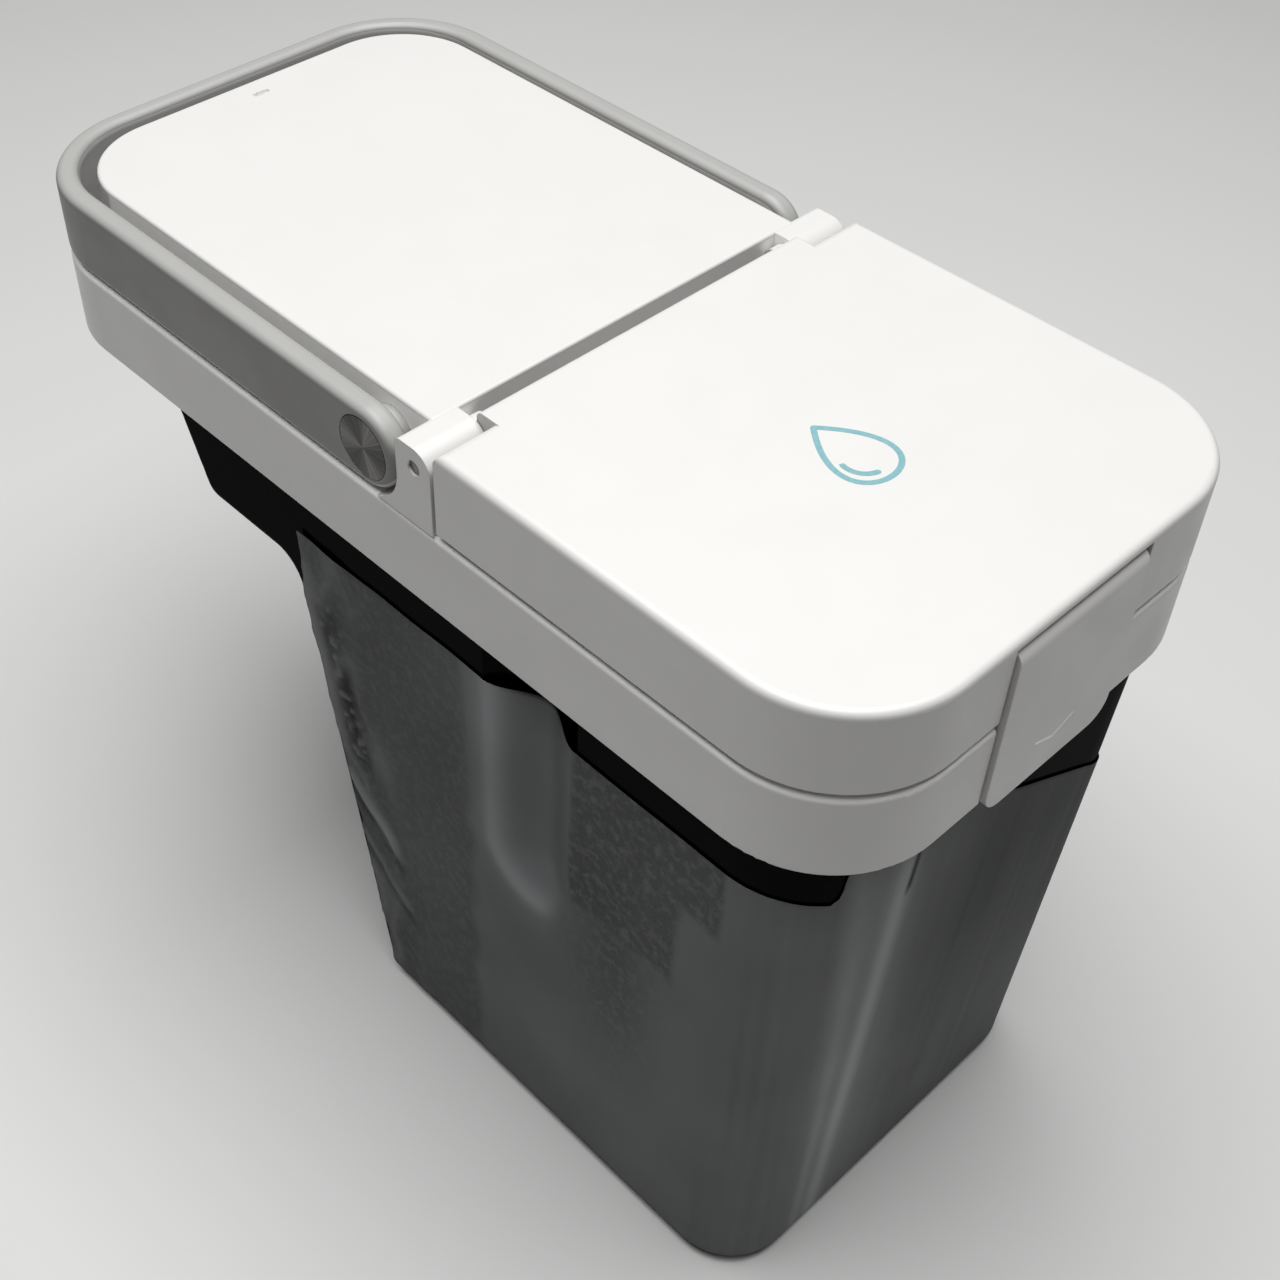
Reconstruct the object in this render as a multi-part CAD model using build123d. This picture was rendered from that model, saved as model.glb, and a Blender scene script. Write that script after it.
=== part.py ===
"""Clean water tank of a robot vacuum's docking station, with a flip lid, a latch and a bail handle.

Millimetres. +Z is up, the latch faces -Y and the handle lies back towards +Y. The origin is the
middle of the bounding box on the floor.
"""
from build123d import *
import os

# Overall size
width = 140.0
length = 298.0
height = 236.0

# Fits and running clearances
press_gap = 0.02
run_gap = 0.06
seat_gap = 0.3

# Lid
lid_skirt = 23.0
lid_plate = 2.0
lid_wall = 2.0
lid_front_radius = 31.0
lid_edge_radius = 2.0
lid_rear_overhang = 1.6
lid_notch_radius = 3.0
lid_rib = 2.0

# Lid hinge
hinge_from_rear = 169.0
hinge_drop = 8.0
knuckle_radius = 5.6
knuckle_width = 17.0
knuckle_clearance = 1.2
lug_corner_radius = 2.0
ear_width = 4.0
ear_radius = 4.2
hinge_pin_radius = 2.0
hinge_pin_recess = 0.6

# Latch
latch_width = 44.6
latch_length = 49.5
latch_proud = 1.0
latch_plate_thick = 2.2
latch_barrel_radius = 4.0
latch_barrel_drop = 3.2
latch_corner_radius = 6.0
latch_pin_radius = 1.5
latch_pocket_wall = 1.8
latch_pocket_gap = 1.1
catch_height = 0.7
catch_ramp = 3.2
catch_rise = 9.0
chevron_span = 14.0
chevron_rise = 2.7
chevron_line = 0.9
chevron_depth = 0.4
chevron_up = 9.0

# Collar
collar_gap = 1.8
collar_height = 24.2
collar_wall = 3.0
collar_edge_radius = 1.8
collar_rear_radius = 33.0
collar_foot_radius = 0.8
deck_drop = 4.2
deck_thick = 2.4
fill_side_margin = 20.0
fill_front_margin = 17.0
fill_rear_margin = 20.0
fill_radius = 18.0
fill_lip = 2.0
fill_lip_rise = 2.0
bay_rear_margin = 7.4

# Rear overhang of the collar
tray_floor = 3.0
tray_wall = 4.0
tray_radius = 18.0

# Tank
tank_wall = 2.4
tank_top_gap = 0.4
tank_corner_gap = 0.5
tank_front_rake = 11.6
tank_side_draft = 0.8
tank_front_radius_floor = 18.0
tank_rear_floor = 35.0
tank_rear_step = 61.0
step_drop = 31.0
shelf_rear_low = 99.0
shelf_rear_high = 112.0
step_inner_radius = 8.0
step_outer_radius = 7.0
floor_rear_radius = 9.0
tank_edge_radius = 4.5
foot_recess = 1.0
foot_rim = 9.0
rim_seal_thick = 1.6

# Side scallop
scallop_ahead = 33.5
scallop_width = 33.0
scallop_depth = 7.0
scallop_bottom = 98.5
scallop_hidden = 6.0

# Rear cover
cover_arm_gap = 3.0
cover_front = 4.5
cover_rear_gap = 11.0
cover_rear_radius = 25.0
cover_wall = 2.2
cover_nose_radius = 0.8
cover_edge_radius = 1.0
cover_slot_length = 5.0
cover_slot_width = 1.4
cover_slot_depth = 0.8
cover_slot_inset = 7.5
boss_radius = 4.0
boss_inset_x = 14.0
boss_inset_y = 12.0
boss_spacing = 25.0
screw_radius = 1.6
screw_length = 14.0
screw_head_radius = 3.2
screw_head_height = 1.6

# Handle
arm_thick = 6.5
bar_thick = 6.0
arm_end_radius = 10.9
pivot_behind_hinge = 18.6
arm_lift = 0.7
handle_edge_radius = 2.4
pivot_pin_radius = 4.0
pivot_boss_radius = 7.0
pivot_boss_length = 6.0
cap_radius = 8.4
cap_thick = 1.4
cap_edge_radius = 0.4
washer_radius = 7.0
cradle_gap = 1.4

# Water outlet
tube_radius = 5.0
tube_bore = 3.6
tube_behind_hinge = 18.0
tube_floor_gap = 3.0
elbow_bend = 9.0
elbow_rise = 11.0
strainer_radius = 8.0
strainer_height = 12.0
strainer_slots = 8
strainer_slot_width = 1.6
strainer_slot_height = 7.0
port_inset = 34.0
spigot_root_radius = 7.0
spigot_tip_radius = 6.5
spigot_tip_length = 8.0
spigot_tip_chamfer = 0.6
spigot_flange_radius = 11.0
spigot_flange_thick = 2.4
outlet_seal_radius = 10.5
outlet_seal_proud = 3.0
outlet_seal_edge = 0.8
outlet_seat_depth = 1.0

# Lid underside
panel_margin = 6.0
panel_thick = 2.0
panel_wall = 1.8
seal_width = 4.0
seal_thick = 3.0

# Places worked out from the sizes above
half_width = width / 2
front = -length / 2
rear = length / 2
lid_front = front + latch_proud
lid_bottom = height - lid_skirt
collar_top = lid_bottom - collar_gap
collar_bottom = collar_top - collar_height
deck_top = collar_top - deck_drop
deck_under = deck_top - deck_thick
tank_rim = deck_under - rim_seal_thick

hinge_y = rear - hinge_from_rear
hinge_z = height - hinge_drop
cover_top = hinge_z + knuckle_radius
knuckle_inner = half_width - knuckle_width
tongue_half_width = knuckle_inner - seat_gap
notch_front = hinge_y - knuckle_radius - knuckle_clearance

latch_y = front + latch_barrel_radius
latch_z = height - latch_barrel_drop - latch_barrel_radius
latch_foot = height - latch_barrel_drop - latch_length
latch_back = front + latch_plate_thick
pocket_half = latch_width / 2 + latch_pocket_gap
collar_latch_face = latch_back + seat_gap

pivot_y = hinge_y + pivot_behind_hinge
pivot_z = collar_top + arm_lift + arm_end_radius
arm_inner = half_width - arm_thick
lug_rear = pivot_y - arm_end_radius - cradle_gap

cover_half_width = arm_inner - cover_arm_gap
cover_rear = rear - cover_rear_gap
cover_front_y = hinge_y + cover_front
tube_y = hinge_y + tube_behind_hinge
port_y = rear - port_inset
fill_half_width = half_width - fill_side_margin
fill_front = lid_front + fill_front_margin
fill_rear = hinge_y - fill_rear_margin
tank_half_top = half_width - collar_wall - tank_top_gap
tank_front_top = lid_front + collar_wall + tank_top_gap
tank_front_radius_top = lid_front_radius - collar_wall - tank_corner_gap
far = 2 * length
trim = 10.0
tiny = 0.01


def plan(half, y0, y1, front_radius, rear_radius):
    """Rounded outline seen from above, with its own radius at the front and at the rear."""
    face = Pos(0, (y0 + y1) / 2) * Rectangle(2 * half, y1 - y0)
    if front_radius > 0:
        face = fillet(face.vertices().group_by(Axis.Y)[0], front_radius)
    if rear_radius > 0:
        face = fillet(face.vertices().group_by(Axis.Y)[-1], rear_radius)
    return face


def prism(face, z0, z1):
    """A plan outline raised from z0 to z1."""
    return extrude(Pos(0, 0, z0) * face, z1 - z0)


def block(x0, x1, y0, y1, z0, z1):
    """A box between two corners."""
    return Pos((x0 + x1) / 2, (y0 + y1) / 2, (z0 + z1) / 2) * Box(x1 - x0, y1 - y0, z1 - z0)


def rod(radius, x0, x1, y, z):
    """A round bar along X."""
    return Pos((x0 + x1) / 2, y, z) * Rot(0, 90, 0) * Cylinder(radius, x1 - x0)


def post(radius, x, y, z0, z1):
    """A round bar along Z."""
    return Pos(x, y, (z0 + z1) / 2) * Cylinder(radius, z1 - z0)


def both_sides(solid):
    """A piece on the +X side, with its mirror image."""
    return solid + mirror(solid, about=Plane.YZ)


def side_face(points):
    """A closed outline of straight lines in the YZ plane."""
    return make_face(Plane.YZ * Polyline(*points, close=True))


def tank_form(inset):
    """The tank's form with sharp edges, or the form of its inside when inset by the wall."""
    step = collar_bottom - step_drop + inset
    points = [
        (-far, inset),
        (hinge_y + tank_rear_floor - inset, inset),
        (hinge_y + tank_rear_step - inset, step),
        (hinge_y + shelf_rear_low - inset, step),
        (hinge_y + shelf_rear_high - inset, collar_bottom),
        (hinge_y + shelf_rear_high - inset, tank_rim + trim),
        (-far, tank_rim + trim),
    ]
    radii = {1: floor_rear_radius - inset, 2: step_inner_radius + inset, 3: step_outer_radius - inset}
    profile = make_face(Polyline(*points, close=True))
    for index, radius in radii.items():
        corner = profile.vertices().sort_by_distance(points[index])[0]
        profile = fillet(corner, radius)
    side = extrude(Plane.YZ * profile, width, both=True)

    floor_front = tank_front_top + tank_front_rake + inset
    floor_half = tank_half_top - tank_side_draft - inset
    floor = plan(floor_half, floor_front, far, tank_front_radius_floor - inset, 0)
    rim = plan(tank_half_top - inset, tank_front_top + inset, far, tank_front_radius_top - inset, 0)
    return side & loft([Pos(0, 0, inset - trim) * floor, Pos(0, 0, tank_rim) * rim], ruled=True)


def rounded_form():
    """The tank's outer form, rounded along the edge that runs down the rear and round the floor."""
    form = tank_form(0)
    rounded = ShapeList()
    for edge in form.edges():
        box = edge.bounding_box()
        on_rim = box.min.Z > tank_rim - tiny
        corner_seam = box.max.Z > tank_rim - tiny and box.max.Y < hinge_y
        across = box.size.X > tank_half_top and box.max.Y > hinge_y
        if not (on_rim or corner_seam or across):
            rounded.append(edge)
    return fillet(rounded, tank_edge_radius)


def scallop(grow):
    """The hollow in each flank, a vertical channel that ends in a round bottom."""
    radius = (scallop_width ** 2 / 4 + scallop_depth ** 2) / (2 * scallop_depth)
    axis_x = tank_half_top + radius - scallop_depth
    axis_y = hinge_y - scallop_ahead
    ball_z = scallop_bottom + scallop_width / 2
    top = collar_bottom + scallop_hidden + grow
    channel = post(radius + grow, axis_x, axis_y, ball_z, top)
    ball = Pos(axis_x, axis_y, ball_z) * Sphere(radius + grow)
    return both_sides(channel + ball)


def tank_body():
    """The smoke-coloured tank with its stepped rear and its two scallops."""
    outer = rounded_form() - scallop(0)
    inner = tank_form(tank_wall) - scallop(tank_wall)
    half = tank_half_top - tank_side_draft - foot_rim
    ahead = tank_front_top + tank_front_rake + foot_rim
    behind = hinge_y + tank_rear_floor - foot_rim
    hollow = plan(half, ahead, behind, tank_front_radius_floor - foot_rim, tank_edge_radius)
    return outer - inner - prism(hollow, 0, foot_recess)


def rim_outline(inset):
    """The tank's rim seen from above."""
    back = hinge_y + shelf_rear_high
    rear_radius = tank_edge_radius - inset
    front_radius = tank_front_radius_top - inset
    return plan(tank_half_top - inset, tank_front_top + inset, back - inset, front_radius, rear_radius)


def rim_seal():
    """The flat gasket between the tank's rim and the deck of the collar."""
    return prism(rim_outline(0) - rim_outline(tank_wall), tank_rim, deck_under)


def fill_outline(grow):
    """The filling hole seen from above."""
    radius = fill_radius + grow
    return plan(fill_half_width + grow, fill_front - grow, fill_rear + grow, radius, radius)


def screw_places():
    """Where the cover's screws stand in the overhang."""
    x = cover_half_width - boss_inset_x
    back = cover_rear - boss_inset_y
    return [(side * x, y) for side in (-1, 1) for y in (back, back - boss_spacing)]


def catch_bead():
    """The ramp on the collar that the latch snaps over."""
    top = latch_foot + catch_rise
    tip = collar_latch_face - catch_height
    face = side_face([(collar_latch_face, top), (tip, top), (collar_latch_face, top - catch_ramp)])
    return extrude(face, latch_width / 2 - latch_corner_radius, both=True)


def rim_collar():
    """The ring round the tank's top, with its deck, its filling hole and its rear overhang."""
    outline = plan(half_width, lid_front, rear, lid_front_radius, collar_rear_radius)
    ring = prism(outline, collar_bottom, collar_top)
    ring = fillet(ring.edges().group_by(Axis.Z)[-1], collar_edge_radius)
    ring = fillet(ring.edges().group_by(Axis.Z)[0], collar_foot_radius)

    inner_half = half_width - collar_wall
    inner_front = lid_front + collar_wall
    inner_radius = lid_front_radius - collar_wall
    socket_rear = hinge_y + shelf_rear_high + tank_top_gap
    socket = plan(inner_half, inner_front, socket_rear, inner_radius, tank_edge_radius)
    bay = plan(inner_half, inner_front, hinge_y - bay_rear_margin, inner_radius, 0)
    tray_half = cover_half_width - tray_wall
    tray = plan(tray_half, socket_rear + tray_wall, cover_rear - tray_wall, tank_edge_radius, tray_radius)
    ring -= prism(socket, collar_bottom, deck_under)
    ring -= prism(bay, deck_top, collar_top)
    ring -= prism(tray, collar_bottom + tray_floor, collar_top)
    ring += prism(fill_outline(fill_lip), deck_top, deck_top + fill_lip_rise)
    ring -= prism(fill_outline(0), deck_under, deck_top + fill_lip_rise)
    ring -= post(tube_radius + press_gap, 0, tube_y, deck_under, collar_top)
    ring -= post(spigot_root_radius + press_gap, 0, port_y, collar_bottom, collar_bottom + tray_floor)
    ring -= post(outlet_seal_radius + seat_gap, 0, port_y, collar_bottom, collar_bottom + outlet_seat_depth)
    for x, y in screw_places():
        ring -= post(screw_radius + press_gap, x, y, collar_bottom, collar_bottom + tray_floor)
        ring -= post(screw_head_radius + seat_gap, x, y, collar_bottom, collar_bottom + screw_head_height)
    ring -= block(-pocket_half, pocket_half, front, collar_latch_face, collar_bottom, collar_top)
    return ring + catch_bead()


def knuckle():
    """The fixed hinge lug on the +X side, and the cradle that follows the handle's round end."""
    lug_front = hinge_y - knuckle_radius
    lug = block(knuckle_inner, half_width, lug_front, lug_rear, collar_top, hinge_z)
    head = block(knuckle_inner, half_width, hinge_y, lug_rear, hinge_z, cover_top)
    corner = head.edges().filter_by(Axis.X).group_by(Axis.Z)[-1].sort_by(Axis.Y)[-1]
    lug += fillet(corner, lug_corner_radius)
    lug += rod(knuckle_radius, knuckle_inner, half_width, hinge_y, hinge_z)
    cradle = block(cover_half_width - cover_wall, half_width, hinge_y, pivot_y, collar_top, pivot_z)
    cradle -= rod(arm_end_radius + cradle_gap, cover_half_width, half_width, pivot_y, pivot_z)
    return lug + cradle


def rear_cover():
    """The white cover over the overhang, with the hinge lugs and the bosses inside it."""
    outline = plan(cover_half_width, cover_front_y, cover_rear, 0, cover_rear_radius)
    cover = prism(outline, collar_top, cover_top)
    nose = cover.edges().filter_by(Axis.X).group_by(Axis.Z)[-1].sort_by(Axis.Y)[0]
    cover = fillet(nose, cover_nose_radius)
    rim = cover.edges().filter_by(lambda edge: edge.center().Z > cover_top - tiny)
    rim = rim.filter_by(lambda edge: edge.bounding_box().max.Y > cover_front_y + cover_nose_radius + tiny)
    cover = fillet(rim, cover_edge_radius)
    inside = plan(cover_half_width - cover_wall, cover_front_y + cover_wall, cover_rear - cover_wall,
                  0, cover_rear_radius - cover_wall)
    cover -= prism(inside, collar_top, cover_top - cover_wall)
    cover += both_sides(knuckle())

    boss_outer = cover_half_width - cover_wall
    boss_inner = boss_outer - pivot_boss_length
    cover += both_sides(rod(pivot_boss_radius, boss_inner, boss_outer, pivot_y, pivot_z))
    cover -= both_sides(rod(pivot_pin_radius + press_gap, boss_inner, cover_half_width, pivot_y, pivot_z))
    cover -= both_sides(rod(hinge_pin_radius + press_gap, knuckle_inner, half_width, hinge_y, hinge_z))
    for x, y in screw_places():
        cover += post(boss_radius, x, y, collar_bottom + tray_floor, cover_top - cover_wall)
        cover -= post(screw_radius + press_gap, x, y, collar_bottom + tray_floor,
                      collar_bottom + screw_length)
    slot = Pos(0, cover_rear - cover_slot_inset, cover_top) * Box(
        cover_slot_length, cover_slot_width, 2 * cover_slot_depth)
    return cover - slot


def cover_screws():
    """The screws that hold the cover from below."""
    screws = []
    for x, y in screw_places():
        head = post(screw_head_radius, x, y, collar_bottom, collar_bottom + screw_head_height)
        shank = post(screw_radius, x, y, collar_bottom + screw_head_height, collar_bottom + screw_length)
        screws.append(head + shank)
    return Compound(children=[screw.solid() for screw in screws])


def hinge_pin(side):
    """One pin of the lid's hinge, from the lug into the lid's ear."""
    inner = tongue_half_width - ear_width
    pin = rod(hinge_pin_radius, inner, half_width - hinge_pin_recess, hinge_y, hinge_z)
    return pin if side > 0 else mirror(pin, about=Plane.YZ)


def handle_pivot(side):
    """One stub axle of the handle, held in the cover's boss."""
    inner = cover_half_width - cover_wall - pivot_boss_length
    pin = rod(pivot_pin_radius, inner, half_width - cap_thick - seat_gap, pivot_y, pivot_z)
    return pin if side > 0 else mirror(pin, about=Plane.YZ)


def pivot_washer(side):
    """The spacer between the cover's flank and the handle's arm."""
    ring = rod(washer_radius, cover_half_width, arm_inner - seat_gap, pivot_y, pivot_z)
    ring -= rod(pivot_pin_radius + press_gap, cover_half_width, arm_inner, pivot_y, pivot_z)
    return ring if side > 0 else mirror(ring, about=Plane.YZ)


def strainer_top():
    """Height of the strainer's upper face above the tank's underside."""
    return tank_wall + tube_floor_gap + strainer_height


def suction_tube():
    """The dip tube that draws water from the floor of the tank."""
    tube = post(tube_radius, 0, tube_y, strainer_top(), deck_under)
    return tube - post(tube_bore, 0, tube_y, strainer_top(), deck_under)


def tube_strainer():
    """The slotted foot of the dip tube."""
    top = strainer_top()
    bottom = top - strainer_height
    wall = tube_radius - tube_bore
    cup = post(strainer_radius, 0, tube_y, bottom, top)
    cup -= post(strainer_radius - wall, 0, tube_y, bottom + wall, top - wall)
    cup -= post(tube_bore, 0, tube_y, top - wall, top)
    middle = (bottom + top) / 2
    slot = Pos(strainer_radius, 0) * Box(2 * strainer_radius, strainer_slot_width, strainer_slot_height)
    for turn in PolarLocations(0, strainer_slots):
        cup -= Pos(0, tube_y, middle) * turn * slot
    return cup


def outlet_elbow():
    """The pipe that leads over the tank's rear wall to the outlet."""
    level = collar_top + elbow_rise
    end = collar_bottom + tray_floor + spigot_flange_thick
    points = [(0, tube_y, deck_under), (0, tube_y, level), (0, port_y, level), (0, port_y, end)]
    path = FilletPolyline(*points, radius=elbow_bend)
    start = Plane(origin=points[0], z_dir=(0, 0, 1))
    return sweep(start * (Circle(tube_radius) - Circle(tube_bore)), path=path)


def outlet_spigot():
    """The flanged outlet under the overhang, whose tip plugs into the station."""
    floor = collar_bottom + tray_floor
    shoulder = collar_bottom - outlet_seal_proud
    low = shoulder - spigot_tip_length
    tip = post(spigot_tip_radius, 0, port_y, low - spigot_tip_chamfer, shoulder)
    tip = chamfer(tip.edges().group_by(Axis.Z)[0], spigot_tip_chamfer)
    spigot = tip + post(spigot_root_radius, 0, port_y, shoulder, floor)
    spigot += post(spigot_flange_radius, 0, port_y, floor, floor + spigot_flange_thick)
    return spigot - post(tube_bore, 0, port_y, low - spigot_tip_chamfer, floor + spigot_flange_thick)


def outlet_seal():
    """The rubber face gasket round the root of the outlet spigot."""
    low = collar_bottom - outlet_seal_proud
    seat = collar_bottom + outlet_seat_depth
    ring = post(outlet_seal_radius, 0, port_y, low, seat)
    ring = fillet(ring.edges().group_by(Axis.Z)[0], outlet_seal_edge)
    return ring - post(spigot_root_radius + press_gap, 0, port_y, low, seat)


def lid_shell():
    """The flip lid with its skirt, its hinge ears and the pocket for the latch."""
    back = hinge_y - lid_rear_overhang
    plate_under = height - lid_plate
    shell = prism(plan(half_width, lid_front, back, lid_front_radius, 0), lid_bottom, height)
    shell = fillet(shell.edges().group_by(Axis.Z)[-1], lid_edge_radius)
    hollow = plan(half_width - lid_wall, lid_front + lid_wall, notch_front - lid_rib,
                  lid_front_radius - lid_wall, 0)
    shell -= prism(hollow, lid_bottom, plate_under)
    shell -= block(-half_width, half_width, notch_front, back, lid_bottom, plate_under)
    notch = block(tongue_half_width, half_width, notch_front, back, plate_under, height)
    turn_y = notch_front - lid_notch_radius
    turn_z = height - lid_notch_radius
    notch += block(tongue_half_width, half_width, turn_y, notch_front, turn_z, height) - rod(
        lid_notch_radius, tongue_half_width, half_width, turn_y, turn_z)
    shell -= both_sides(notch)

    ear_inner = tongue_half_width - ear_width
    ear = rod(ear_radius, ear_inner, tongue_half_width, hinge_y, hinge_z)
    ear += block(ear_inner, tongue_half_width, notch_front - lid_rib, back,
                 hinge_z - ear_radius, plate_under)
    ear -= rod(hinge_pin_radius + run_gap, ear_inner, tongue_half_width, hinge_y, hinge_z)
    shell += both_sides(ear)

    pocket_back = latch_y + latch_barrel_radius + latch_pocket_gap
    pocket_top = latch_z + latch_barrel_radius + latch_pocket_gap
    box_half = pocket_half + latch_pocket_wall
    shell += block(-box_half, box_half, lid_front + lid_wall, pocket_back + latch_pocket_wall,
                   lid_bottom, plate_under)
    shell -= block(-pocket_half, pocket_half, lid_front, pocket_back, lid_bottom, pocket_top)
    return shell - rod(latch_pin_radius + press_gap, -box_half, box_half, latch_y, latch_z)


def seal_under():
    """Height of the lid seal's lower face when the lid is shut."""
    return deck_top + fill_lip_rise + seat_gap


def lid_inner_panel():
    """The liner that closes the lid from below."""
    under = seal_under() + seal_thick
    plate_under = height - lid_plate
    panel = prism(fill_outline(panel_margin), under, plate_under)
    return panel - prism(fill_outline(panel_margin - panel_wall), under + panel_thick, plate_under)


def lid_seal():
    """The rubber ring that shuts on the lip of the filling hole."""
    middle = fill_lip / 2
    ring = fill_outline(middle + seal_width / 2) - fill_outline(middle - seal_width / 2)
    return prism(ring, seal_under(), seal_under() + seal_thick)


def latch_pin():
    """The pin that the latch swings on."""
    reach = pocket_half + latch_pocket_wall
    return rod(latch_pin_radius, -reach, reach, latch_y, latch_z)


def latch_plate():
    """The latch flap: a rolled top edge, a flat plate, a snap groove behind and a chevron in front."""
    half = latch_width / 2
    plate = block(-half, half, front, latch_back, latch_foot, latch_z)
    feet = plate.edges().filter_by(Axis.Y).group_by(Axis.Z)[0]
    plate = fillet(feet, latch_corner_radius)
    plate += rod(latch_barrel_radius, -half, half, latch_y, latch_z)

    top = latch_foot + catch_rise + seat_gap
    deep = latch_back - catch_height
    low = top - 2 * seat_gap
    groove = side_face([(latch_back, top), (deep, top), (deep, low), (latch_back, low - catch_ramp)])
    plate -= extrude(groove, half, both=True)
    plate -= rod(latch_pin_radius + run_gap, -half, half, latch_y, latch_z)

    tip = latch_foot + chevron_up
    arm = tip + chevron_rise
    line = Polyline((-chevron_span / 2, arm), (0, tip), (chevron_span / 2, arm))
    mark = Plane(origin=(0, front, 0), x_dir=(1, 0, 0), z_dir=(0, -1, 0)) * trace(line, chevron_line)
    return plate - extrude(mark, chevron_depth, both=True)


def handle_bail():
    """The U-shaped handle with round ends."""
    start = pivot_y - arm_end_radius
    low = pivot_z - arm_end_radius
    high = pivot_z + arm_end_radius
    outer = plan(half_width, start, rear, 0, collar_rear_radius)
    inner = plan(arm_inner, start, rear - bar_thick, 0, collar_rear_radius - arm_thick)
    bail = prism(outer - inner, low, high)
    corner = block(arm_inner, half_width, start, pivot_y, low, high)
    corner -= rod(arm_end_radius, arm_inner, half_width, pivot_y, pivot_z)
    bail -= both_sides(corner)
    rounded = bail.edges().filter_by(Axis.X, reverse=True)
    rounded += bail.edges().filter_by(Axis.X).filter_by(lambda edge: edge.center().Y > rear - 2 * bar_thick)
    bail = fillet(rounded, handle_edge_radius)
    bail -= both_sides(rod(pivot_pin_radius + run_gap, arm_inner, half_width, pivot_y, pivot_z))
    seat = rod(cap_radius + press_gap, half_width - cap_thick, half_width, pivot_y, pivot_z)
    return bail - both_sides(seat)


def handle_cap(side):
    """The brushed disc let into the end of an arm."""
    cap = rod(cap_radius, half_width - cap_thick, half_width, pivot_y, pivot_z)
    cap = fillet(cap.edges().group_by(Axis.X)[-1], cap_edge_radius)
    return cap if side > 0 else mirror(cap, about=Plane.YZ)


pieces = {
    "tank_body": tank_body(),
    "rim_seal": rim_seal(),
    "rim_collar": rim_collar(),
    "rear_cover": rear_cover(),
    "cover_screws": cover_screws(),
    "suction_tube": suction_tube(),
    "tube_strainer": tube_strainer(),
    "outlet_elbow": outlet_elbow(),
    "outlet_spigot": outlet_spigot(),
    "outlet_seal": outlet_seal(),
    "lid_shell": lid_shell(),
    "lid_inner_panel": lid_inner_panel(),
    "lid_seal": lid_seal(),
    "latch_pin": latch_pin(),
    "latch_plate": latch_plate(),
    "handle_bail": handle_bail(),
}
for name, side in (("left", -1), ("right", 1)):
    pieces["lid_hinge_pin_" + name] = hinge_pin(side)
    pieces["handle_pivot_" + name] = handle_pivot(side)
    pieces["pivot_washer_" + name] = pivot_washer(side)
    pieces["handle_cap_" + name] = handle_cap(side)

os.makedirs("parts", exist_ok=True)
for name, piece in pieces.items():
    export_step(piece, f"parts/{name}.step")
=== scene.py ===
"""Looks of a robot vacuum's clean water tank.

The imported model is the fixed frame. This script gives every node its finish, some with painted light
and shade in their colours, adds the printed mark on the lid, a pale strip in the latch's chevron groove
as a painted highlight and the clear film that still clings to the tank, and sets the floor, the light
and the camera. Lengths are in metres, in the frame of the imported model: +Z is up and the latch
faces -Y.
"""

import logging
import math
from dataclasses import dataclass, field
from enum import Enum

import bmesh
import bpy
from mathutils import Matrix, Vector, noise
from mathutils.bvhtree import BVHTree

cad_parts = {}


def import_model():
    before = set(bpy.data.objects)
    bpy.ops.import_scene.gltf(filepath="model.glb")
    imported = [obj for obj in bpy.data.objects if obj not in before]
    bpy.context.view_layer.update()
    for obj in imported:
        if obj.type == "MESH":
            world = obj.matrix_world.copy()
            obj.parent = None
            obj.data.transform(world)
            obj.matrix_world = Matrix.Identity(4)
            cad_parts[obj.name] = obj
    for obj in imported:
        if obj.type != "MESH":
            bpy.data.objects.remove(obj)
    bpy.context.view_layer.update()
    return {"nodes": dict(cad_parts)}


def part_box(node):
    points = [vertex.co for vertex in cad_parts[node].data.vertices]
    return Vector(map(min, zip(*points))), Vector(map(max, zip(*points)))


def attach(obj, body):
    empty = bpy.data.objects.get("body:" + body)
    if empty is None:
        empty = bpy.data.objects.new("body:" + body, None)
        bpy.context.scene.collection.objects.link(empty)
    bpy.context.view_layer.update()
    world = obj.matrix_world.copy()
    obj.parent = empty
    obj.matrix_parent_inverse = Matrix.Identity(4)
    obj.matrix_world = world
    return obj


MM = 0.001
LOG = logging.getLogger("water_tank")
# Most values of a noise node lie in this range.
NOISE_SPAN = (0.3, 0.7)
CRUMPLE_STRETCH = 0.6

Colour = tuple[float, float, float]
Range = tuple[float, float]
Look = tuple[float, float, float]
Socket = bpy.types.NodeSocket


class Body(Enum):
    """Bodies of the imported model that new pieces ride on."""

    TANK = "tank"
    LID = "lid"
    LATCH = "latch"


class Slot(Enum):
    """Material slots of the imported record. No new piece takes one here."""

    SMOKE_TANK = "smoke_tank"


class Side(Enum):
    """The two sides of the tank, as the names of nodes end."""

    LEFT = "_left"
    RIGHT = "_right"


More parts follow.
